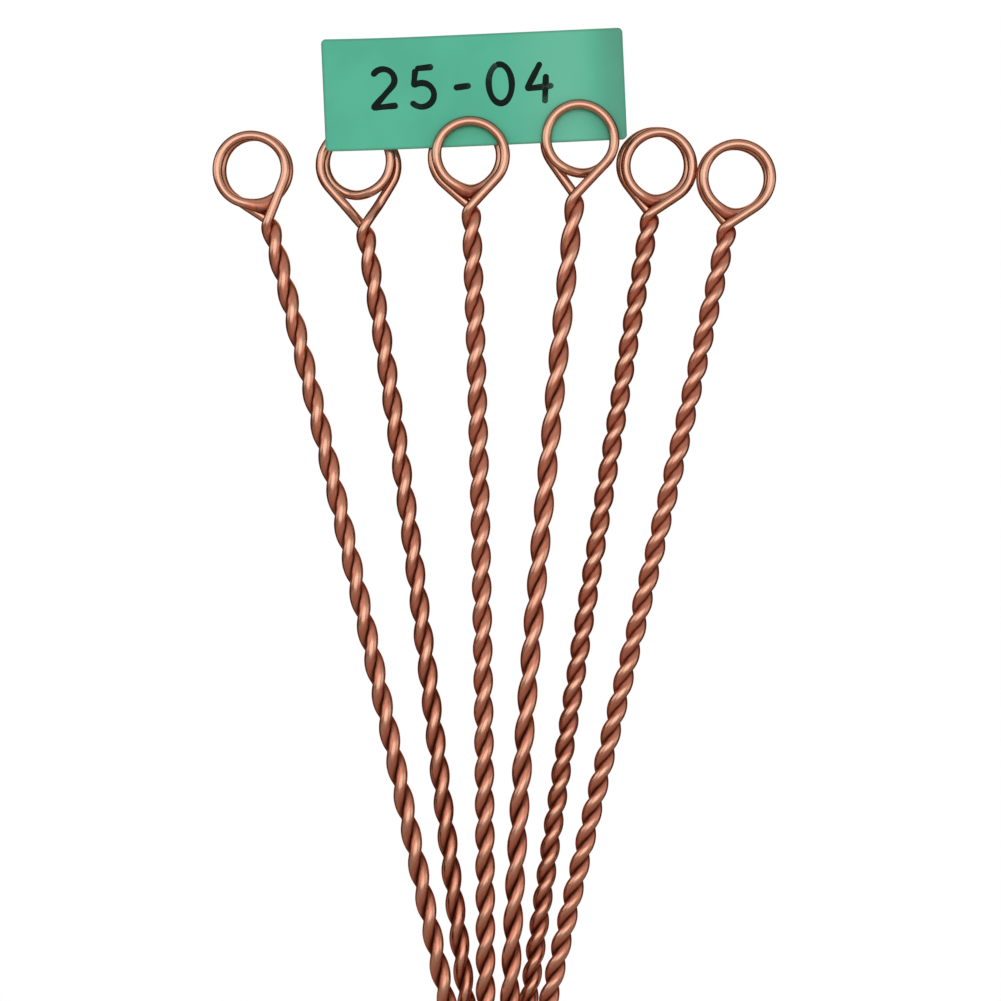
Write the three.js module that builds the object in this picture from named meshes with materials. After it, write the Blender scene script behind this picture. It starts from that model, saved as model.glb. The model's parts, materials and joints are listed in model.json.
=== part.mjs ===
// A fan of six electroculture plant stakes and the plant label that two of them hold.
// Each stake is one copper wire: its ends are twisted together into a shank and its middle is wound
// twice round a former into a loop, so the two turns grip a label between them like a paper clip.
// Millimetres, +Z up. The fan stands in the XZ plane and faces -Y.
// The origin is midway between the tips of stakes 3 and 4, at the depth where the wires are cut off.
import * as THREE from "three";

// The wire, and the least air left between two lengths of it that lie side by side
const wireDiameter = 2.6;
const wireGap = 0.45;

// The usual length of a stake, from its tip to the top of its loop
const stakeLength = 241;

// The loop at the top of every stake
const loopInnerDiameter = 15;
const turnChange = 30; // degrees each side of the loop's lowest point where the wire crosses between turns
const flareSweep = 100; // degrees of the loop over which it opens out into a leg
const legCrossStart = 0.1; // the share of a leg where it leaves the depth of the twist
const legCrossEnd = 0.55; // the share of a leg where it reaches the depth of its turn

// The twist starts tighter just under the neck: there it is ahead by this share of a turn
const neckLead = 0.11;

// The bunch of tips in the soil: how far apart neighbours are, and how steeply the rear row nests behind
const tipGap = 0.02;
const nestAngle = 47;

// The fan opens to both sides of stake 3, which leans to the right by this many degrees
const middleLean = -1.004;

// Each stake is wound by hand, so no two are alike.
// share: its length as a share of the usual one. turns: turns of the twist from the tip to the neck.
// legAngle: the slant of the two legs of the neck, in degrees from the shank.
// loopTilt: how far the loop is bent to the right of the shank, in degrees.
// bow: how far the ends of the shank are bent from its chord, in degrees, so that its middle bulges right.
// sway: how far the upper half of the shank then sways right and its lower half left, in wire diameters.
// flare: how far the loop opens out into the legs, in wire diameters.
// backTurn: how far the rear turn lies to the right of the front one, in wire diameters.
// frontLeg: the leg that runs into the front turn. gapToNext: from this loop to the next, in loop diameters.
const stakes = [
  {
    share: 1.0057, turns: 12.12, legAngle: 40.7, loopTilt: -4.68, bow: 1.4, sway: 0.071,
    flare: 0.08, backTurn: 0.3, frontLeg: "right", gapToNext: 0.346,
  },
  {
    share: 1.0001, turns: 12.01, legAngle: 35.6, loopTilt: 1.98, bow: 1.53, sway: 0.116,
    flare: 0.5, backTurn: 0.1, frontLeg: "left", gapToNext: 0.438,
  },
  {
    share: 0.9963, turns: 13.38, legAngle: 43.1, loopTilt: -1.64, bow: 1.1, sway: 0.01,
    flare: 0.1, backTurn: -0.4, frontLeg: "right", gapToNext: 0.446,
  },
  {
    share: 1.0166, turns: 11.19, legAngle: 39.0, loopTilt: -0.26, bow: -2.2, sway: 0.093,
    flare: 0.13, backTurn: 0.05, frontLeg: "right", gapToNext: 0.057,
  },
  {
    share: 0.9993, turns: 16.28, legAngle: 45.6, loopTilt: -1.21, bow: -0.98, sway: 0.016,
    flare: 0.1, backTurn: -0.4, frontLeg: "right", gapToNext: 0.022,
  },
  {
    share: 0.9954, turns: 15.38, legAngle: 47.5, loopTilt: -3.11, bow: 0.36, sway: 0.124,
    flare: 0.1, backTurn: 0.1, frontLeg: "right", gapToNext: 0,
  },
];
const middleStake = 2; // stakes 3 and 4, counted from 0, stand in front and hold the label
const rearStakes = [1, 4];

// The label: a flat plastic strip. Its lower edge is pushed into the two loops that hold it.
const labelWidth = 78.2;
const labelHeight = 29;
const labelThickness = 0.6;
const labelCorner = 1.2;
const labelClearance = 0.3; // between each face of the label and the turn beside it
const labelLeftReach = 37; // from the middle of loop 3 to the label's left end
const edgeAboveLoop3 = 2.4; // from the middle of loop 3 up to the label's lower edge
const edgeBelowLoop4 = 0.5; // from the middle of loop 4 down to the label's lower edge

// How finely the wire is drawn
const wireSides = 5;
const stepsPerTwist = 8;
const stepsPerLoop = 24;
const stepsPerLeg = 6;

// Sizes that follow from those above
const wireRadius = wireDiameter / 2;
const loopRadius = (loopInnerDiameter + wireDiameter) / 2;
const loopOuterRadius = loopRadius + wireRadius;
const twistRadius = (wireDiameter + wireGap) / 2 / Math.cos(Math.PI / stepsPerTwist);
const shankDiameter = 2 * (twistRadius + wireRadius);
const tipPitch = shankDiameter + tipGap;
const nestAcross = tipPitch * Math.cos(THREE.MathUtils.degToRad(nestAngle));
const nestBehind = tipPitch * Math.sin(THREE.MathUtils.degToRad(nestAngle));

const copper = { color: 0xb5714f, roughness: 0.38, metalness: 1 };
const greenPlastic = { color: 0x57b796, roughness: 0.5, metalness: 0 };

/** Rises smoothly from 0 to 1 while x goes from start to end. */
function ease(x, start, end) {
  return THREE.MathUtils.smoothstep(x, start, end);
}

/** True for the two stakes whose turns stand apart to let the label in. */
function holdsLabel(index) {
  return index === middleStake || index === middleStake + 1;
}

/**
 * The sizes of one stake in its own frame: x to the right, y to the back, z up the shank from the tip.
 * The legs are tangents from the neck, where the two strands cross, to the loop's circle.
 */
function measure(index) {
  const stake = stakes[index];
  const length = stakeLength * stake.share;
  const slant = THREE.MathUtils.degToRad(stake.legAngle);
  const tilt = THREE.MathUtils.degToRad(stake.loopTilt);
  const flare = wireDiameter * stake.flare;
  const rise = (loopRadius + flare) / Math.sin(slant);
  const neckHeight = length - loopOuterRadius - rise * Math.cos(tilt);
  const spread = holdsLabel(index) ? labelThickness + 2 * labelClearance : wireGap;
  const firstTurn = stake.frontLeg === "right" ? -1 : 1;
  return {
    slant,
    tilt,
    flare,
    neckHeight,
    pitch: (neckHeight - wireDiameter) / (stake.turns - neckLead),
    bulge: (neckHeight * Math.tan(THREE.MathUtils.degToRad(stake.bow))) / 4,
    sway: wireDiameter * stake.sway,
    centreX: rise * Math.sin(tilt),
    centreZ: length - loopOuterRadius,
    turnDepth: (firstTurn * (wireDiameter + spread)) / 2,
    turnShift: (firstTurn * wireDiameter * stake.backTurn) / 2,
  };
}

/** One strand of the shank from the tip up to the neck, where phase 0 is the strand in front. */
function strandPoints(index, phase) {
  const { neckHeight, pitch, bulge, sway } = measure(index);
  const steps = Math.round(((neckHeight - wireDiameter) * stepsPerTwist) / pitch);
  const heights = [0];
  for (let i = 0; i <= steps; i++) {
    heights.push(wireDiameter + ((neckHeight - wireDiameter) * i) / steps);
  }
  return heights.map((z) => {
    // The last wire diameter before the cut end runs straight
    const turnsBelow = (neckHeight - Math.max(z, wireDiameter)) / pitch;
    const turned = phase - 2 * Math.PI * (turnsBelow + neckLead * ease(turnsBelow, 0, 0.5));
    const along = z / neckHeight;
    const sideways = 4 * bulge * along * (1 - along) - sway * Math.sin(2 * Math.PI * along);
    return new THREE.Vector3(sideways + twistRadius * Math.sin(turned), -twistRadius * Math.cos(turned), z);
  });
}

/** A point of the loop at an angle round it. It runs from the right leg over the top and down the left,
 *  crosses below from the first turn to the second, and goes round again to the left leg. */
function loopPoint(index, angle) {
  const { slant, tilt, flare, centreX, centreZ, turnDepth, turnShift } = measure(index);
  const lowest = 1.5 * Math.PI;
  const change = THREE.MathUtils.degToRad(turnChange);
  const sweep = THREE.MathUtils.degToRad(flareSweep);
  const turn = 1 - 2 * ease(angle, lowest - change, lowest + change);
  const fromLeg = Math.min(angle + slant, 2 * lowest + slant - angle);
  const radius = loopRadius + flare * (1 - ease(fromLeg, 0, sweep));
  return new THREE.Vector3(
    centreX + turnShift * turn + radius * Math.cos(angle - tilt),
    turnDepth * turn,
    centreZ + radius * Math.sin(angle - tilt),
  );
}

/** The whole loop, from the foot of the right leg to the foot of the left one. */
function loopPoints(index) {
  const { slant } = measure(index);
  const sweep = 3 * Math.PI + 2 * slant;
  const steps = Math.round((sweep * stepsPerLoop) / (2 * Math.PI));
  const points = [];
  for (let i = 0; i <= steps; i++) points.push(loopPoint(index, (sweep * i) / steps - slant));
  return points;
}

/** A leg of the neck, from the crossing out to the loop: side is 1 for the right leg and -1 for the left. */
function legPoints(index, side) {
  const { slant, neckHeight, turnDepth } = measure(index);
  const foot = new THREE.Vector3(0, 0, neckHeight);
  const head = loopPoint(index, side > 0 ? -slant : 3 * Math.PI + slant);
  const points = [];
  for (let i = 1; i < stepsPerLeg; i++) {
    const part = i / stepsPerLeg;
    const point = foot.clone().lerp(head, part);
    point.y = side * THREE.MathUtils.lerp(-twistRadius, turnDepth, ease(part, legCrossStart, legCrossEnd));
    points.push(point);
  }
  return points;
}

/** The middle line of a stake's wire, from one cut end to the other. */
function wirePath(index) {
  return [
    ...strandPoints(index, 0),
    ...legPoints(index, 1),
    ...loopPoints(index),
    ...legPoints(index, -1).reverse(),
    ...strandPoints(index, Math.PI).reverse(),
  ];
}

/** A closed solid wire along a path: one ring of corners per point, carried along without twisting. */
function wireGeometry(path) {
  const last = path.length - 1;
  const tangents = path.map((_, i) =>
    path[Math.min(i + 1, last)].clone().sub(path[Math.max(i - 1, 0)]).normalize(),
  );
  tangents[0].set(0, 0, 1);
  tangents[last].set(0, 0, -1);
  const across = new THREE.Vector3(1, 0, 0);
  const turn = new THREE.Quaternion();
  const corners = [];
  path.forEach((point, i) => {
    if (i > 0) across.applyQuaternion(turn.setFromUnitVectors(tangents[i - 1], tangents[i]));
    const up = new THREE.Vector3().crossVectors(tangents[i], across);
    for (let k = 0; k < wireSides; k++) {
      const angle = (2 * Math.PI * k) / wireSides;
      const corner = point.clone();
      corner.addScaledVector(across, wireRadius * Math.cos(angle));
      corner.addScaledVector(up, wireRadius * Math.sin(angle));
      corners.push(...corner.toArray());
    }
  });
  const faces = [];
  for (let i = 0; i < last; i++) {
    for (let k = 0; k < wireSides; k++) {
      const a = i * wireSides + k;
      const b = i * wireSides + ((k + 1) % wireSides);
      faces.push(a, b, b + wireSides, a, b + wireSides, a + wireSides);
    }
  }
  for (let k = 1; k < wireSides - 1; k++) {
    const end = last * wireSides;
    faces.push(0, k + 1, k, end, end + k, end + k + 1);
  }
  const geometry = new THREE.BufferGeometry();
  geometry.setAttribute("position", new THREE.Float32BufferAttribute(corners, 3));
  geometry.setIndex(faces);
  geometry.computeVertexNormals();
  return geometry;
}

/** The least air between two lengths of one wire that are far apart along it. */
function leastGap(path) {
  const beads = [];
  let travelled = 0;
  for (let i = 1; i < path.length; i++) {
    const stretch = path[i - 1].distanceTo(path[i]);
    for (let k = 0; k < 3; k++) {
      beads.push({ at: travelled + (stretch * k) / 3, point: path[i - 1].clone().lerp(path[i], k / 3) });
    }
    travelled += stretch;
  }
  let least = Infinity;
  beads.forEach((a, i) => {
    for (let j = i + 1; j < beads.length; j++) {
      if (beads[j].at - a.at > 4 * wireDiameter) least = Math.min(least, a.point.distanceTo(beads[j].point));
    }
  });
  return least - wireDiameter;
}

/** Where each stake's tip stands: stakes 3 and 4 side by side, the others nested outwards in two rows. */
function tipOf(index) {
  const outward = index <= middleStake ? middleStake - index : index - middleStake - 1;
  const side = index <= middleStake ? -1 : 1;
  const depth = rearStakes.includes(index) ? nestBehind : 0;
  return new THREE.Vector3(side * (tipPitch / 2 + outward * nestAcross), depth, 0);
}

/** The middle of a loop in the fan, for a stake that leans by the given angle. */
function loopCentre(index, lean) {
  const { centreX, centreZ } = measure(index);
  const local = new THREE.Vector3(centreX, 0, centreZ);
  return local.applyAxisAngle(new THREE.Vector3(0, 1, 0), lean).add(tipOf(index));
}

/** The lean that puts a stake's loop at the stated gap beside its neighbour's loop. */
function leanBeside(index, neighbour, neighbourLean) {
  const side = Math.sign(index - neighbour);
  const { centreX, centreZ } = measure(index);
  const reach = Math.hypot(centreX, centreZ);
  const apart = 2 * loopOuterRadius * (1 + stakes[Math.min(index, neighbour)].gapToNext);
  const toNeighbour = loopCentre(neighbour, neighbourLean).sub(tipOf(index));
  const far = Math.hypot(toNeighbour.x, toNeighbour.z);
  const opening = Math.acos((far * far + reach * reach - apart * apart) / (2 * far * reach));
  return Math.atan2(toNeighbour.x, toNeighbour.z) + side * opening - Math.atan2(centreX, centreZ);
}

const leans = [];
leans[middleStake] = THREE.MathUtils.degToRad(middleLean);
for (let i = middleStake - 1; i >= 0; i--) leans[i] = leanBeside(i, i + 1, leans[i + 1]);
for (let i = middleStake + 1; i < stakes.length; i++) leans[i] = leanBeside(i, i - 1, leans[i - 1]);

/** The label, standing on the line from its rest in loop 3 to its rest in loop 4. */
function labelMesh() {
  const restLeft = loopCentre(middleStake, leans[middleStake]);
  const restRight = loopCentre(middleStake + 1, leans[middleStake + 1]);
  restLeft.z += edgeAboveLoop3;
  restRight.z -= edgeBelowLoop4;
  const slope = Math.atan2(restRight.z - restLeft.z, restRight.x - restLeft.x);
  const right = labelWidth - labelLeftReach;
  const outline = new THREE.Shape();
  outline.moveTo(-labelLeftReach + labelCorner, 0);
  outline.lineTo(right - labelCorner, 0);
  outline.absarc(right - labelCorner, labelCorner, labelCorner, -Math.PI / 2, 0);
  outline.absarc(right - labelCorner, labelHeight - labelCorner, labelCorner, 0, Math.PI / 2);
  outline.absarc(-labelLeftReach + labelCorner, labelHeight - labelCorner, labelCorner, Math.PI / 2, Math.PI);
  outline.absarc(-labelLeftReach + labelCorner, labelCorner, labelCorner, Math.PI, 1.5 * Math.PI);
  const geometry = new THREE.ExtrudeGeometry(outline, {
    depth: labelThickness,
    bevelEnabled: false,
    curveSegments: 4,
  });
  geometry.translate(0, 0, -labelThickness / 2);
  geometry.rotateX(Math.PI / 2);
  geometry.rotateY(-slope);
  const mesh = new THREE.Mesh(geometry, new THREE.MeshStandardMaterial(greenPlastic));
  mesh.name = "plant_label";
  mesh.position.copy(restLeft);
  return mesh;
}

const fan = new THREE.Group();
fan.name = "electroculture_plant_stakes";
stakes.forEach((stake, index) => {
  const path = wirePath(index);
  const mesh = new THREE.Mesh(wireGeometry(path), new THREE.MeshStandardMaterial(copper));
  mesh.name = `stake_${index + 1}`;
  mesh.position.copy(tipOf(index));
  mesh.rotation.y = leans[index];
  fan.add(mesh);
  const lean = THREE.MathUtils.radToDeg(leans[index]).toFixed(2);
  console.log(`${mesh.name}: leans ${lean} degrees, least gap in the wire ${leastGap(path).toFixed(2)} mm`);
});
fan.add(labelMesh());

export default fan;
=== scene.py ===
"""Six electroculture plant stakes of twisted copper wire, fanned out, and the plant label that two of them
hold.

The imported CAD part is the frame. Every stake is drawn again as one smooth wire on the same route, and the
label as a thin sheet with marker-pen numbers. Sizes are in millimetres until a mesh is made, which is in
metres.
"""

import json
import math

import bpy
import numpy as np
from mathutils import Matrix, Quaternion, Vector


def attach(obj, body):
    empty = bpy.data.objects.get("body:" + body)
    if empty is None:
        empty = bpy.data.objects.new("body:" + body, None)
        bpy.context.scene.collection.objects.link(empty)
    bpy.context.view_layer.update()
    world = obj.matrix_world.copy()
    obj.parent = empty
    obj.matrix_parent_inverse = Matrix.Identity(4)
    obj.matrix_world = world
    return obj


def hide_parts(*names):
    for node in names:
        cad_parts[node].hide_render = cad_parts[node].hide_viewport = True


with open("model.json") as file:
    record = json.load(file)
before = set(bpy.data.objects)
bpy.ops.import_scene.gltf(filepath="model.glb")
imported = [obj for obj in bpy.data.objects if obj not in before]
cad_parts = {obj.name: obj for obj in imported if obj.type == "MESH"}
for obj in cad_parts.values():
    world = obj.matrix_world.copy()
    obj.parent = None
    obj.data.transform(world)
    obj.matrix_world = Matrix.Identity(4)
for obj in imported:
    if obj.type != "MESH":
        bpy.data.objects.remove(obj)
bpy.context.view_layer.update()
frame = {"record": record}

MM = 0.001

# The wire, the loop at the top of each stake, and the air between its turns: where they lie on each other,
# and in all where they hold the label
WIRE = 2.6
STAKE_LENGTH = 241.0
LOOP_INSIDE = 15.0
LOOP_R = (LOOP_INSIDE + WIRE) / 2
LOOP_OUT_R = LOOP_R + WIRE / 2
TURN_CHANGE = math.radians(30)
FLARE_SWEEP = math.radians(100)
LEG_CROSS = (0.1, 0.55)
OUT_OF_ROUND = 0.1
TURN_AIR = 0.02
LABEL_AIR = 0.04

# The twist: how far its strands are from its axis, how far it is ahead of an even twist under the neck, in
# turns, and over how many turns that comes about
STRAND_R = 0.52 * WIRE
NECK_LEAD = 0.11
NECK_TURNS = 0.3

# The twist presses the strands against each other, so that they are wider than the wire by one share, fuller
# still on the inside by another, and pushed in by a third. This fades out between two heights from the neck.
WIDENED = 0.17
FILLED = 0.45
CLOSED = 0.15
NECK_FADE = (-3.0, 1.0)

# Where one turn of a loop crosses to the other it is pressed into the crotch of the legs: wider by a share,
# lower by a share of the wire's radius, and over this length to each side
CROSSING_WIDER = 0.36
CROSSING_LOWER = 0.42
CROSSING_REACH = 3.0

# How deep in a cleft the wire is, from -1 on the outside of the twist to 1 inside it, which sets how
# tarnished and painted-shaded its flanks are and the painted shade in its clefts: less on the legs and
# loops, which stay bright, and more under a crossing, as painted shade where the wire faces away from the
# loop's middle
LOOP_SHINE = 1.0
CROSSING_SHADE = 1.4
CROSSING_FACES = (-0.55, 0.25)

# The cut ends are narrower by a share over a short length. The drawn lines count only this share of the
# distance along the wire, which makes them long, and start further on at every stake.
END_NARROWER = 0.16
END_REACH = 0.5
LINE_STRETCH = 0.1
LINE_SHIFT = 10

# The bunch of tips, as the CAD part spaces them
CAD_WIRE_GAP = 0.45
CAD_TIP_GAP = 0.02
CAD_STEPS_PER_TWIST = 8
CAD_STRAND_R = (WIRE + CAD_WIRE_GAP) / 2 / math.cos(math.pi / CAD_STEPS_PER_TWIST)
TIP_PITCH = 2 * (CAD_STRAND_R + WIRE / 2) + CAD_TIP_GAP
NEST = math.radians(47)

# The label. Each curl has the place where it starts, its length, and how far forwards it reaches at the end.
LABEL_W = 78.2
LABEL_H = 29.0
LABEL_T = 0.6
LABEL_CORNER = 1.2
LABEL_SOFT_EDGE = 0.14
LABEL_LEFT = 37.0
EDGE_ABOVE_LOOP_3 = 2.4
EDGE_BELOW_LOOP_4 = 0.5
LEFT_CURL = (-9.0, 28.0, 1.8)
RIGHT_CURL = (39.4, 1.8, -0.2)

# The numbers on the label: the pen's width and how much it wavers, the thickness of the ink above the
# label's face and below it, the figures' height and spacing, and the place of the first one
PEN = 1.6
PEN_WAVERS = 0.06
INK_ABOVE = 0.05
INK_BELOW = 0.02
FIGURE_H = 10.4
FIGURE_PITCH = 10.0
FIRST_FIGURE = (-24.5, 10.6)

# One entry a stake, left to right, as in the CAD part: its share of the usual length, turns of the twist,
# slant of the legs, tilt of the loop and bow of the shank in degrees, and in wire diameters the sway of the
# shank, the flare of the loop and how far its rear turn lies to the right of the front one. In the last
# three stakes the tilt or the rear turn is a little off the CAD part's, as the photograph has it. Then how
# far the rear turn lies above the front one, in wire diameters too, the depth of the turn that the right leg
# runs into, -1 for the front, and how far the crossing of the turns is pressed.
STAKES = (
    dict(share=1.0057, turns=12.12, leg=40.7, tilt=-4.68, bow=1.40, sway=0.071, flare=0.08,
         back=0.3, lift=0.0, first=-1, pressed=1.6),
    dict(share=1.0001, turns=12.01, leg=35.6, tilt=1.98, bow=1.53, sway=0.116, flare=0.5,
         back=0.1, lift=0.0, first=1, pressed=0.0),
    dict(share=0.9963, turns=13.38, leg=43.1, tilt=-1.64, bow=1.10, sway=0.010, flare=0.1,
         back=-0.4, lift=0.0, first=-1, pressed=1.3),
    dict(share=1.0166, turns=11.19, leg=39.0, tilt=0.0, bow=-2.20, sway=0.093, flare=0.13,
         back=0.05, lift=0.0, first=-1, pressed=0.0),
    dict(share=0.9993, turns=16.28, leg=45.6, tilt=-1.21, bow=-0.98, sway=0.016, flare=0.1,
         back=-0.33, lift=0.22, first=-1, pressed=1.0),
    dict(share=0.9954, turns=15.38, leg=47.5, tilt=-3.5, bow=0.36, sway=0.124, flare=0.1,
         back=-0.08, lift=0.0, first=-1, pressed=1.0),
)
MIDDLE = 2
HOLDERS = (2, 3)
REAR = (1, 4)

# How finely the wire is drawn: places round it, the step along it and how softly its line turns, and the
# points of that line before it is divided evenly
SIDES = 20
RING_ANGLE = 2 * np.pi * np.arange(SIDES) / SIDES
STEP = 0.4
SOFTEN = 0.8
STRAND_POINTS = 900
LEG_POINTS = 60
LOOP_POINTS = 400


def smoothstep(x, a, b):
    """0 before a, 1 after b, and the cubic 3t^2 - 2t^3 in between."""
    t = np.clip((x - a) / (b - a), 0.0, 1.0)
    return t * t * (3.0 - 2.0 * t)


def unit(vectors):
    """Each vector divided by its length."""
    return vectors / np.linalg.norm(vectors, axis=-1, keepdims=True)


def distance_along(points):
    """How far along their line points are."""
    return np.concatenate([[0.0], np.cumsum(np.linalg.norm(np.diff(points, axis=0), axis=1))])


def even_steps(points, step, soften):
    """The same line with points a step apart, and how far along it they are. A Gaussian of the width that
    soften gives, along the line, rounds its corners."""
    fine_step = soften / 5
    run = distance_along(points)
    fine = np.linspace(0.0, run[-1], int(run[-1] / fine_step))
    line = np.stack([np.interp(fine, run, points[:, k]) for k in range(3)], 1)
    reach = int(3 * soften / fine_step)
    weight = np.exp(-0.5 * (np.arange(-reach, reach + 1) * fine_step / soften) ** 2)
    weight /= weight.sum()
    before = 2 * line[0] - line[reach:0:-1]
    after = 2 * line[-1] - line[-2 : -reach - 2 : -1]
    padded = np.concatenate([before, line, after])
    smooth = np.stack([np.convolve(padded[:, k], weight, mode="valid") for k in range(3)], 1)
    run = distance_along(smooth)
    even = np.linspace(0.0, run[-1], int(run[-1] / step) + 1)
    return np.stack([np.interp(even, run, smooth[:, k]) for k in range(3)], 1), even


def mesh_from(name, points, faces):
    """A smooth mesh object from points, in millimetres in the part's frame, and a list of faces."""
    mesh = bpy.data.meshes.new(name)
    mesh.from_pydata((points * MM).tolist(), [], faces)
    mesh.polygons.foreach_set("use_smooth", np.ones(len(faces), dtype=bool))
    mesh.update()
    made = bpy.data.objects.new(name, mesh)
    bpy.context.scene.collection.objects.link(made)
    return made


def keep_values(made, name, values):
    """Stores a number or a vector for every point of a mesh, for its material to read."""
    values = np.asarray(values, dtype=np.float32)
    kind, key = ("FLOAT_VECTOR", "vector") if values.ndim == 2 else ("FLOAT", "value")
    made.data.attributes.new(name, kind, "POINT").data.foreach_set(key, values.reshape(-1))


def grid_faces(rows, columns):
    """Quads between the neighbouring points of a grid of rows and columns."""
    i, k = np.meshgrid(np.arange(rows - 1), np.arange(columns - 1), indexing="ij")
    a = i * columns + k
    return np.stack([a, a + columns, a + columns + 1, a + 1], -1).reshape(-1, 4).tolist()


def tube_faces(rings, sides, start=0):
    """Quads between neighbouring rings of a tube, and one many-sided face on each end."""
    i, k = np.meshgrid(np.arange(rings - 1), np.arange(sides), indexing="ij")
    a = start + i * sides + k
    b = start + i * sides + (k + 1) % sides
    quads = np.stack([a, b, b + sides, a + sides], -1).reshape(-1, 4)
    first = start + np.arange(sides)[::-1]
    last = start + (rings - 1) * sides + np.arange(sides)
    return [*quads.tolist(), first.tolist(), last.tolist()]


# Stakes


def lean_of(index):
    """How far a stake leans to the right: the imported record's mount at its tip faces down along it."""
    mount = next(m for m in frame["record"]["mounts"] if m["name"] == f"tip_{index + 1}")
    return math.atan2(-mount["axis"][0], -mount["axis"][2])


def to_part(points, index):
    """From a stake's own frame to the part's: turned by its lean about Y, then moved to its place."""
    outward = MIDDLE - index if index <= MIDDLE else index - MIDDLE - 1
    side = -1 if index <= MIDDLE else 1
    tip_x = side * (TIP_PITCH / 2 + outward * TIP_PITCH * math.cos(NEST))
    tip_y = TIP_PITCH * math.sin(NEST) if index in REAR else 0.0
    c, s = math.cos(lean_of(index)), math.sin(lean_of(index))
    x, y, z = points[..., 0], points[..., 1], points[..., 2]
    return np.stack([c * x + s * z + tip_x, y + tip_y, c * z - s * x], -1)


def sizes_of(index):
    """One stake's sizes in its own frame: x to the right, y to the back and z up the shank from the tip."""
    stake = STAKES[index]
    slant, tilt = math.radians(stake["leg"]), math.radians(stake["tilt"])
    length = STAKE_LENGTH * stake["share"]
    flare = WIRE * stake["flare"]
    rise = (LOOP_R + flare) / math.sin(slant)
    neck = length - LOOP_OUT_R - rise * math.cos(tilt)
    spread = LABEL_T + LABEL_AIR if index in HOLDERS else TURN_AIR
    return dict(
        slant=slant,
        tilt=tilt,
        flare=flare,
        neck=neck,
        pitch=(neck - WIRE) / (stake["turns"] - NECK_LEAD),
        bulge=neck * math.tan(math.radians(stake["bow"])) / 4,
        sway=WIRE * stake["sway"],
        middle=np.array([rise * math.sin(tilt), 0.0, length - LOOP_OUT_R]),
        depth=stake["first"] * (WIRE + spread) / 2,
        shift=stake["first"] * WIRE * stake["back"] / 2,
        lift=stake["first"] * WIRE * stake["lift"] / 2,
    )


def shank_axis(z, size):
    """The sideways place of the shank's axis at a height: a parabola that is 0 at the tip and at the neck,
    and on it one wave of a sine, to the right in the upper half and to the left in the lower."""
    t = np.clip(z / size["neck"], 0.0, 1.0)
    return 4 * size["bulge"] * t * (1 - t) - size["sway"] * np.sin(2 * np.pi * t)


def strand_line(size, phase):
    """One strand of the shank: a helix round its axis, from the tip to the neck, where it is tighter."""
    z = np.linspace(0.0, size["neck"], STRAND_POINTS)
    below = (size["neck"] - np.maximum(z, WIRE)) / size["pitch"]
    lead = NECK_LEAD * (1 - np.maximum(1 - below / NECK_TURNS, 0) ** 2)
    turned = phase - 2 * np.pi * (below + lead)
    return np.stack([shank_axis(z, size) + STRAND_R * np.sin(turned), -STRAND_R * np.cos(turned), z], 1)


def loop_line(size, angle, number):
    """The loop: a circle, a little out of round, that opens out into the legs, wound once and three
    quarters. At its lowest point it crosses from the first turn to the second, which lies behind or in
    front, a little to one side, and in one loop higher."""
    turn = 1 - 2 * smoothstep(angle, 1.5 * np.pi - TURN_CHANGE, 1.5 * np.pi + TURN_CHANGE)
    from_leg = np.minimum(angle + size["slant"], 3 * np.pi + size["slant"] - angle)
    by_hand = OUT_OF_ROUND * (np.sin(1.7 * angle + number) + 0.5 * np.sin(3.1 * angle + 2 * number))
    radius = LOOP_R + size["flare"] * (1 - smoothstep(from_leg, 0.0, FLARE_SWEEP)) + by_hand
    x = size["middle"][0] + size["shift"] * turn + radius * np.cos(angle - size["tilt"])
    z = size["middle"][2] + size["lift"] * turn + radius * np.sin(angle - size["tilt"])
    return np.stack([x, size["depth"] * turn, z], 1)


def leg_line(size, side, head):
    """A leg: a straight line from the crossing at the neck to the loop, while its depth eases from the
    twist's to its turn's."""
    t = np.linspace(0.0, 1.0, LEG_POINTS)[1:-1]
    y = side * (-STRAND_R + (size["depth"] + STRAND_R) * smoothstep(t, *LEG_CROSS))
    return np.stack([t * head[0], y, size["neck"] + t * (head[2] - size["neck"])], 1)


def wire_line(size, number):
    """The wire's middle line: up one strand, out along the right leg, round the loop, down the left leg and
    back down the other strand."""
    angle = np.linspace(-size["slant"], 3 * np.pi + size["slant"], LOOP_POINTS)
    loop = loop_line(size, angle, number)
    right, left = leg_line(size, 1, loop[0]), leg_line(size, -1, loop[-1])
    return np.concatenate([strand_line(size, 0.0), right, loop, left[::-1], strand_line(size, np.pi)[::-1]])


def circles_across(tangent):
    """A circle of radius 1 across a line at each of its points, as places round it."""
    side = unit(np.cross(tangent, (0.0, 1.0, 0.0)))
    up = np.cross(tangent, side)
    sideways, upward = np.cos(RING_ANGLE)[None, :, None], np.sin(RING_ANGLE)[None, :, None]
    return sideways * side[:, None, :] + upward * up[:, None, :]


def pressed_by_twist(ring, line, tangent, in_shank, size):
    """What the twist adds to the circles of the strands, in wire radii, and how squarely each place on them
    faces the other strand, from 1 for towards it to -1."""
    axis = shank_axis(line[:, 2], size)
    away = np.stack([line[:, 0] - axis, line[:, 1], np.zeros(len(line))], 1) / STRAND_R
    away *= in_shank[:, None]
    across = np.cross(tangent, away)
    inward = -np.einsum("nsk,nk->ns", ring, away)
    sideways = np.einsum("nsk,nk->ns", ring, across)
    inside = np.maximum(inward, 0)
    wider = (1 + WIDENED) * (1 + FILLED * inside) - 1
    added = (wider * sideways)[..., None] * across[:, None] - (CLOSED * inside)[..., None] * away[:, None]
    return added, inward


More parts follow.
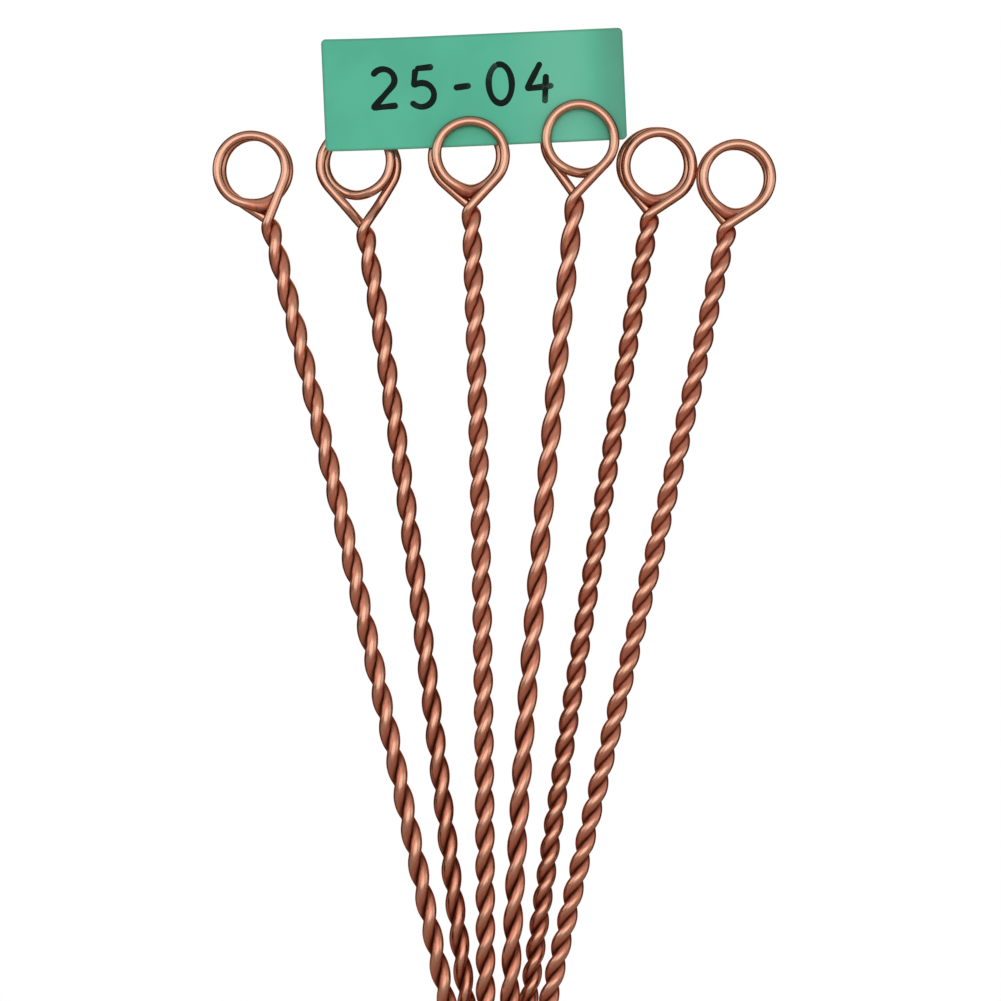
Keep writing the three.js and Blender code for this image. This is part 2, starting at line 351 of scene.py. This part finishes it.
def pressed_at_crossing(ring, line, run, size, pressed):
    """What the crossing of the turns, which is halfway along the wire, adds to its circles, in wire radii,
    and how much painted shade darkens each place on them there, from 0 to 1."""
    down = unit((line - size["middle"]) * (1, 0, 1))
    crossing = pressed * np.exp(-(((run - run[-1] / 2) / CROSSING_REACH) ** 2))
    outward = np.einsum("nsk,nk->ns", ring, down)
    lowered = crossing[:, None] * (CROSSING_WIDER * outward + CROSSING_LOWER)
    # Painted shade under the crossing, where the wire faces away from the loop's middle
    brown = np.minimum(crossing, 1)[:, None] * smoothstep(outward, *CROSSING_FACES)
    return lowered[..., None] * down[:, None], brown


def stake_piece(index):
    """A stake: a circle of the wire's radius carried along its line, pressed where the strands are twisted
    and where the turns cross, and narrower at the two cut ends. Its points keep the drawn lines' place,
    which is cos and sin round the wire and the distance along it, and how deep in a cleft they are, with
    the painted shade under the crossing added."""
    number = index + 1
    size = sizes_of(index)
    line, run = even_steps(wire_line(size, number), STEP, SOFTEN)
    tangent = unit(np.gradient(line, axis=0))
    ring = circles_across(tangent)
    in_shank = 1 - smoothstep(line[:, 2] - size["neck"], *NECK_FADE)
    twist, inward = pressed_by_twist(ring, line, tangent, in_shank, size)
    crossing, brown = pressed_at_crossing(ring, line, run, size, STAKES[index]["pressed"])
    from_end = np.minimum(run, run[-1] - run)
    radius = WIRE / 2 * (1 - END_NARROWER * (1 - smoothstep(from_end, 0.0, END_REACH)))
    points = line[:, None] + radius[:, None, None] * (ring + twist + crossing)
    placed = to_part(points.reshape(-1, 3), index)
    made = mesh_from(f"wire_stake_{number}", placed, tube_faces(len(run), SIDES))

    along = LINE_STRETCH * run[:, None] + LINE_SHIFT * number
    drawn = np.broadcast_arrays(np.cos(RING_ANGLE), np.sin(RING_ANGLE), along)
    keep_values(made, "drawn_lines", np.stack(drawn, -1).reshape(-1, 3))
    # How deep in a cleft each place is, plus the painted shade under the crossing
    cleft = inward - LOOP_SHINE * (1 - in_shank[:, None]) + CROSSING_SHADE * brown
    keep_values(made, "cleft", cleft.reshape(-1))
    return made


# Label


def loop_middle(index):
    """The middle of a loop in the part's frame."""
    return to_part(sizes_of(index)["middle"], index)


def on_label(x, up, out):
    """Points of the part's frame at x along the label's lower edge from loop 3, up the label, and out of its
    front. Its two free ends curl as parabolas, the left one forwards and the right one backwards."""
    left, right = loop_middle(HOLDERS[0]), loop_middle(HOLDERS[1])
    left[2] += EDGE_ABOVE_LOOP_3
    right[2] -= EDGE_BELOW_LOOP_4
    along = unit((right - left) * (1, 0, 1))
    rise = np.array([-along[2], 0.0, along[0]])
    curl = LEFT_CURL[2] * (np.maximum(LEFT_CURL[0] - x, 0) / LEFT_CURL[1]) ** 2
    curl = curl + RIGHT_CURL[2] * (np.maximum(x - RIGHT_CURL[0], 0) / RIGHT_CURL[1]) ** 2
    forward = (out + curl)[..., None] * np.array([0.0, -1.0, 0.0])
    return left + x[..., None] * along + up[..., None] * rise + forward


def edge_steps(length, count):
    """Places along a side of the label: close together in its two rounded corners and even between them."""
    corner = LABEL_CORNER * np.linspace(0.0, 1.0, 8)
    between = np.linspace(LABEL_CORNER, length - LABEL_CORNER, count)
    return np.concatenate([corner[:-1], between, length - corner[-2::-1]])


def into_corner(places, length):
    """How far places reach into the corner squares at the two ends of a side: -1 to 0, 0 between, 0 to 1."""
    reach = np.minimum(places - LABEL_CORNER, 0) + np.maximum(places - (length - LABEL_CORNER), 0)
    return reach / LABEL_CORNER


def label_piece():
    """The label: a flat grid whose corner squares are squeezed into quarter discs, a to a sqrt(1 - b^2 / 2)
    and b to b sqrt(1 - a^2 / 2), then curled and given its thickness. Its points keep their place on the
    sheet and how far they are from its edge."""
    x, z = np.meshgrid(edge_steps(LABEL_W, 100), edge_steps(LABEL_H, 40), indexing="ij")
    a, b = into_corner(x, LABEL_W), into_corner(z, LABEL_H)
    from_edge = np.minimum(np.minimum(x, LABEL_W - x), np.minimum(z, LABEL_H - z))
    squeezed_x = x + np.where(b != 0, a * (np.sqrt(1 - b * b / 2) - 1), 0) * LABEL_CORNER
    squeezed_z = z + np.where(a != 0, b * (np.sqrt(1 - a * a / 2) - 1), 0) * LABEL_CORNER
    points = on_label(squeezed_x - LABEL_LEFT, squeezed_z, np.zeros_like(x)).reshape(-1, 3)
    made = mesh_from("label_sheet", points, grid_faces(*x.shape))
    place = np.stack([x / LABEL_W, z / LABEL_H, from_edge], -1).reshape(-1, 3)
    keep_values(made, "sheet_place", place)
    solid = made.modifiers.new("thickness", "SOLIDIFY")
    solid.thickness = LABEL_T * MM
    solid.offset = 0.0
    bevel = made.modifiers.new("soft_edges", "BEVEL")
    bevel.width = LABEL_SOFT_EDGE * MM
    bevel.segments = 2
    bevel.limit_method = "ANGLE"
    return made


def arc(x, z, wide, high, start, end):
    """A stretch of an ellipse round (x, z), between two angles in degrees."""
    angle = np.radians(np.linspace(start, end, 40))
    return np.stack([x + wide * np.cos(angle), z + high * np.sin(angle)], 1)


def figure_strokes():
    """The pen strokes of the figures 2 5 - 0 4, each in a square of side 1, in writing order."""
    two = np.concatenate([arc(0.30, 0.72, 0.28, 0.27, 160, -35), [(0.02, 0.03)], [(0.64, 0.07)]])
    five_body = np.concatenate([[(0.15, 0.97), (0.09, 0.55)], arc(0.28, 0.31, 0.31, 0.30, 120, -150)])
    five_flag = np.array([(0.14, 0.97), (0.60, 1.00)])
    dash = np.array([(0.12, 0.45), (0.56, 0.49)])
    nought = arc(0.33, 0.50, 0.29, 0.49, 110, -262)
    four_arm = np.array([(0.40, 1.0), (0.03, 0.35), (0.70, 0.40)])
    four_stem = np.array([(0.52, 0.70), (0.46, -0.04)])
    figures = ((two,), (five_body, five_flag), (dash,), (nought,), (four_arm, four_stem))
    placed = []
    for place, strokes in enumerate(figures):
        placed += [stroke + (place * FIGURE_PITCH / FIGURE_H, 0) for stroke in strokes]
    return placed


def numbers_piece():
    """The numbers: a thin domed band of ink along each stroke, with round ends where its width follows a
    circle. Its points keep how dry the pen was, which grows along each stroke and from stroke to stroke."""
    sides = 12
    angle = 2 * np.pi * np.arange(sides) / sides
    dome = np.where(np.sin(angle) > 0, INK_ABOVE, INK_BELOW) * np.sin(angle)
    points, faces, dry = [], [], []
    start = 0
    for order, stroke in enumerate(figure_strokes()):
        flat = np.concatenate([stroke * FIGURE_H, np.zeros((len(stroke), 1))], 1)
        line, run = even_steps(flat, 0.12, 0.35)
        tangent = unit(np.gradient(line, axis=0))
        from_end = np.clip(np.minimum(run, run[-1] - run) / (PEN / 2), 0.002, 1.0)
        wobble = 1 + PEN_WAVERS * np.sin(0.9 * run + 2 * order)
        half = PEN / 2 * wobble * np.sqrt(1 - (1 - from_end) ** 2)
        x = line[:, 0, None] - tangent[:, 1, None] * half[:, None] * np.cos(angle) + FIRST_FIGURE[0]
        up = line[:, 1, None] + tangent[:, 0, None] * half[:, None] * np.cos(angle) + FIRST_FIGURE[1]
        out = np.broadcast_to(LABEL_T / 2 + dome, x.shape)
        points.append(on_label(x, up, out).reshape(-1, 3))
        faces += tube_faces(len(run), sides, start)
        start += x.size
        dry.append(np.repeat(smoothstep(run / run[-1], 0.45, 1.15), sides) * (0.35 + 0.11 * order))
    made = mesh_from("label_numbers", np.concatenate(points), faces)
    keep_values(made, "dry", np.concatenate(dry))
    return made


# Finishes


class Link:
    """A socket of a node tree. An operator on links, or on a link and a number, adds its Math node."""

    def __init__(self, tree, socket=None):
        self.tree = tree
        self.socket = socket

    def node(self, kind, settings, sockets, output=0):
        """Adds a node of a kind. Its settings are set first, then each named socket gets a value or link."""
        made = self.tree.nodes.new(f"ShaderNode{kind}")
        for name, value in settings.items():
            setattr(made, name, value)
        for name, value in sockets.items():
            if isinstance(value, Link):
                self.tree.links.new(value.socket, made.inputs[name])
            else:
                made.inputs[name].default_value = value
        return Link(self.tree, made.outputs[output])

    def math(self, operation, first, second=0.0):
        """A Math node on two values."""
        return self.node("Math", {"operation": operation}, {0: first, 1: second})

    def __add__(self, other):
        return self.math("ADD", self, other)

    def __sub__(self, other):
        return self.math("SUBTRACT", self, other)

    def __rsub__(self, other):
        return self.math("SUBTRACT", other, self)

    def __mul__(self, other):
        return self.math("MULTIPLY", self, other)

    __radd__ = __add__
    __rmul__ = __mul__

    def between(self, low, high):
        """0 where the value is under low, 1 where it is over high, and smooth in between."""
        settings = {"interpolation_type": "SMOOTHSTEP"}
        return self.node("MapRange", settings, {"Value": self, "From Min": low, "From Max": high})

    def noise(self, scale, detail=3.0, roughness=0.55):
        """Cloudy noise that reads this vector, between about 0.3 and 0.7."""
        sockets = {"Vector": self, "Scale": scale, "Detail": detail, "Roughness": roughness}
        return self.node("TexNoise", {}, sockets)

    def blend(self, first, second):
        """A colour that goes from the first, where this value is 0, to the second, where it is 1."""
        sockets = {"Factor": self, 6: first, 7: second}
        return self.node("Mix", {"data_type": "RGBA", "clamp_factor": True}, sockets, 2)

    def part(self, axis):
        """The X, Y or Z of this vector."""
        return self.node("SeparateXYZ", {}, {"Vector": self}, axis)

    def feed(self, shader, name):
        """Links this value to a socket of a shader."""
        self.tree.links.new(self.socket, shader.inputs[name])


def colour(red, green, blue):
    """A colour for a socket, from its linear red, green and blue."""
    return (red, green, blue, 1.0)


# Copper: bright, tarnished with painted shade for the flanks, and dark brown painted shade for the clefts
BRIGHT_COPPER = colour(0.585, 0.338, 0.242)
TARNISHED_SHADED_COPPER = colour(0.57, 0.225, 0.148)
CLEFT_SHADE_BROWN = colour(0.13, 0.038, 0.020)
GRAZED_COPPER = colour(0.66, 0.34, 0.24)
GREEN = colour(0.081, 0.573, 0.389)
DEEP_GREEN = colour(0.070, 0.515, 0.348)
# A painted sheen and a painted shade for the right part of the label
SHEEN_GREEN = colour(0.138, 0.615, 0.440)
SHADED_END_GREEN = colour(0.082, 0.342, 0.246)
EDGE_GREEN = colour(0.063, 0.321, 0.219)
INK = colour(0.004, 0.013, 0.010)
DRY_INK = colour(0.040, 0.090, 0.072)


def new_finish(name):
    """A new material with its shader, and a link to start its nodes from."""
    made = bpy.data.materials.new(name)
    made.use_nodes = True
    return made, made.node_tree.nodes["Principled BSDF"], Link(made.node_tree)


def set_bump(start, shader, height, depth, strength):
    """Raises a shader's surface by a height of 0 to 1, times a depth in millimetres."""
    sockets = {"Height": height, "Distance": depth * MM, "Strength": strength}
    start.node("Bump", {}, sockets).feed(shader, "Normal")


def drawn_copper():
    """Bare drawn copper: satin, with fine lines along the wire, bright on the outside of the twist, where it
    is handled, tarnished on the flanks in a cloudy way with painted shade there as well, and with dark brown
    painted shade in the clefts and under the crossing of the loop's turns, cloudy and stronger lower down."""
    made, shader, start = new_finish("drawn_copper")
    drawn = start.node("Attribute", {"attribute_name": "drawn_lines"}, {}, "Vector")
    cleft = start.node("Attribute", {"attribute_name": "cleft"}, {}, "Fac")
    place = start.node("TexCoord", {}, {}, "Object")
    lines = drawn.noise(13.0, 2.0)
    clouds = place.noise(110.0, 4.0, 0.6)
    specks = place.noise(900.0, 2.0)
    uneven = 0.5 * clouds + 0.35 * lines + 0.15 * specks
    low = 1 - place.part("Z").between(0.03, 0.16)
    wear_and_shade = cleft + 1.2 * uneven - 0.6
    # Tarnished flanks, partly painted shade on the sides that face the other strand
    flank_tarnish_and_shade = wear_and_shade.between(-1.0, -0.5)
    # Painted shade in the clefts and under the crossing, cloudy, and darker lower down
    cleft_shade = (wear_and_shade + 0.3 * low).between(-0.05, 0.8)
    base = flank_tarnish_and_shade.blend(BRIGHT_COPPER, TARNISHED_SHADED_COPPER)
    cleft_shade.blend(base, CLEFT_SHADE_BROWN).feed(shader, "Base Color")
    (0.21 + 0.10 * flank_tarnish_and_shade + 0.08 * lines + 0.10 * cleft_shade).feed(shader, "Roughness")
    shader.inputs["Metallic"].default_value = 1.0
    shader.inputs["Specular Tint"].default_value = GRAZED_COPPER
    set_bump(start, shader, lines, 0.02, 0.08)
    return made


def green_sheet():
    """Matte green plastic: faintly mottled, with a painted sheen in a band towards the right, painted shade
    at that end, and dark at its edges.
    """
    made, shader, start = new_finish("green_sheet")
    sheet = start.node("Attribute", {"attribute_name": "sheet_place"}, {}, "Vector")
    along = sheet.part("X")
    edge = sheet.part("Z")
    place = start.node("TexCoord", {}, {}, "Object")
    patches = place.noise(45.0, 3.0)
    grain = place.noise(2600.0, 2.0)
    # Painted sheen in a band towards the right of the label
    painted_sheen = along.between(0.55, 0.80) * (1 - along.between(0.82, 0.95))
    # Painted shade at the label's right end
    end_shade = along.between(0.86, 1.0)
    rubbed = 0.75 * (1 - edge.between(0.05, 0.8))
    base = patches.between(0.3, 0.7).blend(GREEN, DEEP_GREEN)
    base = (painted_sheen * (0.55 + 0.5 * patches)).blend(base, SHEEN_GREEN)
    base = (end_shade * (0.45 + 0.6 * patches)).blend(base, SHADED_END_GREEN)
    rubbed.blend(base, EDGE_GREEN).feed(shader, "Base Color")
    (0.42 + 0.14 * patches + 0.06 * grain).feed(shader, "Roughness")
    shader.inputs["Specular IOR Level"].default_value = 0.4
    set_bump(start, shader, grain, 0.02, 0.2)
    return made


def pen_ink():
    """Marker ink: near black with a green cast, streaky, and greyer where the pen ran dry."""
    made, shader, start = new_finish("pen_ink")
    dry = start.node("Attribute", {"attribute_name": "dry"}, {}, "Fac")
    place = start.node("TexCoord", {}, {}, "Object")
    streaks = place.noise(700.0, 3.0)
    thin = (dry + 0.7 * streaks - 0.35).between(0.15, 0.95)
    thin.blend(INK, DRY_INK).feed(shader, "Base Color")
    (0.55 + 0.25 * thin).feed(shader, "Roughness")
    shader.inputs["Specular IOR Level"].default_value = 0.08
    set_bump(start, shader, streaks, 0.02, 0.3)
    return made


copper = drawn_copper()
for index in range(len(STAKES)):
    wire = stake_piece(index)
    wire.data.materials.append(copper)
    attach(wire, f"stake_{index + 1}")
    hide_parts(f"stake_{index + 1}")

label = label_piece()
label.data.materials.append(green_sheet())
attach(label, "plant_label")
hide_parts("plant_label")

numbers = numbers_piece()
numbers.data.materials.append(pen_ink())
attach(numbers, "plant_label")

# Camera: straight on to the fan, as in the photograph. A pixel of the photograph is this wide at the fan,
# and the part's origin is at this place in it.
FRAME = 1001
PIXEL = 0.26
ORIGIN_AT = (497.0, 1040.0)
DISTANCE = 530.0
CENTRE = FRAME / 2
camera_data = bpy.data.cameras.new("camera")
camera = bpy.data.objects.new("camera", camera_data)
bpy.context.scene.collection.objects.link(camera)
camera.location = Vector(((CENTRE - ORIGIN_AT[0]) * PIXEL, -DISTANCE, (ORIGIN_AT[1] - CENTRE) * PIXEL)) * MM
camera.rotation_euler = (math.radians(90), 0, 0)
camera_data.lens = camera_data.sensor_width * DISTANCE / (FRAME * PIXEL)
camera_data.clip_start = 0.01
bpy.context.scene.camera = camera

# Stage: a pale table top that ends just behind the fan, as its half width, front, back and height, and a
# white card far behind it, as its half width, depth, lower edge and upper edge
TABLE = (450.0, -330.0, 42.0, -1.2)
CARD = (520.0, 900.0, -330.0, 620.0)
TABLE_COLOUR = colour(0.74, 0.60, 0.52)
CARD_COLOUR = colour(0.8, 0.8, 0.8)
WHITE = colour(1, 1, 1)

# The room that the copper mirrors, in front above, in front below and behind, and the shares of a
# direction's height and depth over which one passes into the next
ROOM_ABOVE = colour(0.64, 0.57, 0.54)
ROOM_BELOW = colour(0.31, 0.18, 0.13)
ROOM_BEHIND = colour(0.09, 0.035, 0.018)
ROOM_RISE = (-0.1, 0.4)
ROOM_DEPTH = (-0.3, 0.1)

# The place that every lamp faces, in metres
AIM = (0.0, 0.0, 0.15)


def plane(name, corners):
    """A flat four-sided piece of the stage."""
    made = mesh_from(name, np.array(corners), [[0, 1, 2, 3]])
    return made


def table_top():
    """The table top, in a plain pale colour."""
    half, front, back, z = TABLE
    made = plane("table_top", [(-half, front, z), (half, front, z), (half, back, z), (-half, back, z)])
    finish, shader, start = new_finish("pale_table")
    place = start.node("TexCoord", {}, {}, "Object")
    (0.5 + 0.2 * place.noise(60.0)).feed(shader, "Roughness")
    shader.inputs["Base Color"].default_value = TABLE_COLOUR
    made.data.materials.append(finish)


def white_card():
    """The card behind: white to the camera and in reflections, and plain pale card to all other light."""
    half, y, low, high = CARD
    made = plane("white_card", [(-half, y, low), (half, y, low), (half, y, high), (-half, y, high)])
    finish, shader, start = new_finish("white_card")
    shader.inputs["Base Color"].default_value = CARD_COLOUR
    seen = start.node("LightPath", {}, {}, "Is Camera Ray")
    for ray in ("Is Glossy Ray", "Is Transmission Ray"):
        seen = start.math("MAXIMUM", seen, start.node("LightPath", {}, {}, ray))
    glow = start.node("Emission", {}, {"Color": WHITE, "Strength": 1.0})
    plain = Link(finish.node_tree, shader.outputs[0])
    mixed = start.node("MixShader", {}, {0: seen, 1: plain, 2: glow})
    mixed.feed(finish.node_tree.nodes["Material Output"], "Surface")
    made.data.materials.append(finish)


def softbox(name, place, size, brightness, roll=0.0):
    """A soft rectangular lamp in metres, whose face is as bright as a white surface times the brightness. It
    is rolled about its own axis by an angle in degrees."""
    data = bpy.data.lights.new(name, "AREA")
    data.shape = "RECTANGLE"
    data.size, data.size_y = size
    data.energy = brightness * math.pi * size[0] * size[1]
    lamp = bpy.data.objects.new(name, data)
    lamp.location = place
    turned = (Vector(AIM) - Vector(place)).to_track_quat("-Z", "Y")
    lamp.rotation_euler = (turned @ Quaternion((0, 0, 1), math.radians(roll))).to_euler()
    bpy.context.scene.collection.objects.link(lamp)


def room():
    """The room round the stage, by direction: pale in front above, brown in front below, and dim behind."""
    world = bpy.data.worlds.new("studio")
    bpy.context.scene.world = world
    world.use_nodes = True
    direction = Link(world.node_tree).node("TexCoord", {}, {}, "Generated")
    front = direction.part("Z").between(*ROOM_RISE).blend(ROOM_BELOW, ROOM_ABOVE)
    walls = direction.part("Y").between(*ROOM_DEPTH).blend(front, ROOM_BEHIND)
    walls.feed(world.node_tree.nodes["Background"], "Color")


table_top()
white_card()
softbox("front", place=(0.0, -1.15, 0.21), size=(1.4, 0.92), brightness=1.46, roll=-10)
softbox("left", place=(-1.15, -0.55, 0.46), size=(1.2, 0.66), brightness=0.9)
softbox("right", place=(1.15, -0.55, 0.10), size=(1.2, 0.66), brightness=0.8)
softbox("back", place=(0.1, 0.95, 1.05), size=(1.3, 0.8), brightness=1.4)
room()

bpy.context.scene.view_settings.view_transform = "Standard"
